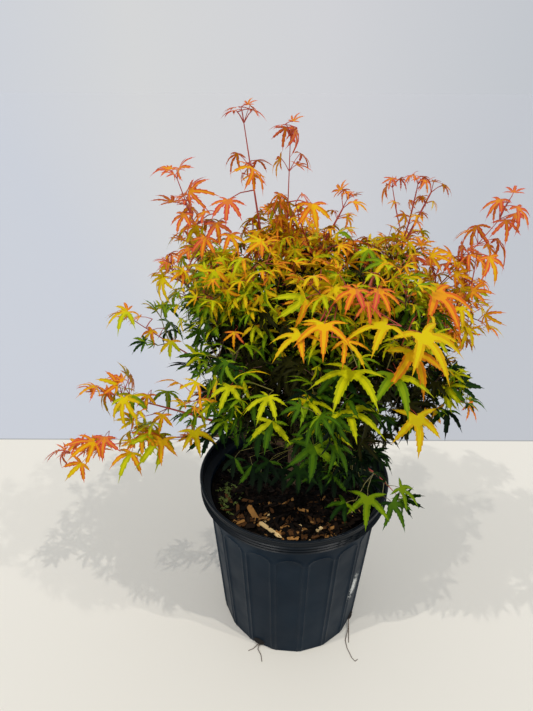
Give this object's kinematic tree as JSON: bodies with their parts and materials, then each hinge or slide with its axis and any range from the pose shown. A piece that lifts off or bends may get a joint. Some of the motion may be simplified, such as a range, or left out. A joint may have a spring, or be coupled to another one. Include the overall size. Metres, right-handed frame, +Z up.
{
  "type": "potted japanese maple",
  "caption": "Young japanese maple with lobed autumn leaves, forking low into many boughs, in a round black nursery pot with a rolled rim.",
  "frame": {"origin": "centre of the pot's flat underside", "axes": "+Z up along the pot's axis, +X to the plant's right as seen from its front, -Y its front"},
  "size_m": [0.5947, 0.428, 0.7209],
  "materials": {
    "pot_plastic": "moulded black polyethylene, slightly satin",
    "bark_mulch": "dark bark mulch with pale chips",
    "bark": "smooth brown bark, reddish on young shoots",
    "leaf_rose": "matt leaf, pink-red autumn tint",
    "leaf_orange": "matt leaf, orange autumn tint",
    "leaf_lime": "matt leaf, yellow-green",
    "leaf_green": "matt leaf, dark green"
  },
  "bodies": {
    "root": {"pot": "pot_plastic", "soil": "bark_mulch", "trunk": "bark", "bough_leader_left": "bark", "bough_leader_mid": "bark", "bough_crown_top": "bark", "bough_upper_left": "bark", "bough_left_fan": "bark", "bough_arm_high": "bark", "bough_right_top": "bark", "bough_right_far": "bark", "bough_right_side": "bark", "bough_front_right": "bark", "bough_front_mid": "bark", "bough_heart_front": "bark", "bough_heart_left": "bark", "bough_heart_right": "bark", "bough_front": "bark", "bough_front_left": "bark", "bough_front_low": "bark", "bough_right_low": "bark", "bough_rim_sprig": "bark", "bough_arm_mid": "bark", "bough_arm_low": "bark", "bough_back_mid": "bark", "bough_back_left": "bark", "bough_back_right": "bark", "bough_back_low_left": "bark", "bough_back_low_right": "bark", "leader_left": "leaf_rose", "leader_mid": "leaf_rose", "crown_top": "leaf_orange", "upper_left": "leaf_rose", "left_fan": "leaf_orange", "arm_high": "leaf_lime", "right_top": "leaf_rose", "right_far": "leaf_rose", "right_side": "leaf_orange", "front_right": "leaf_orange", "front_mid": "leaf_orange", "heart_front": "leaf_lime", "heart_left": "leaf_orange", "heart_right": "leaf_lime", "front": "leaf_lime", "front_left": "leaf_lime", "front_low": "leaf_green", "right_low": "leaf_lime", "rim_sprig": "leaf_green", "arm_mid": "leaf_lime", "arm_low": "leaf_orange", "back_mid": "leaf_orange", "back_left": "leaf_orange", "back_right": "leaf_lime", "back_low_left": "leaf_green", "back_low_right": "leaf_green"}
  },
  "joints": []
}
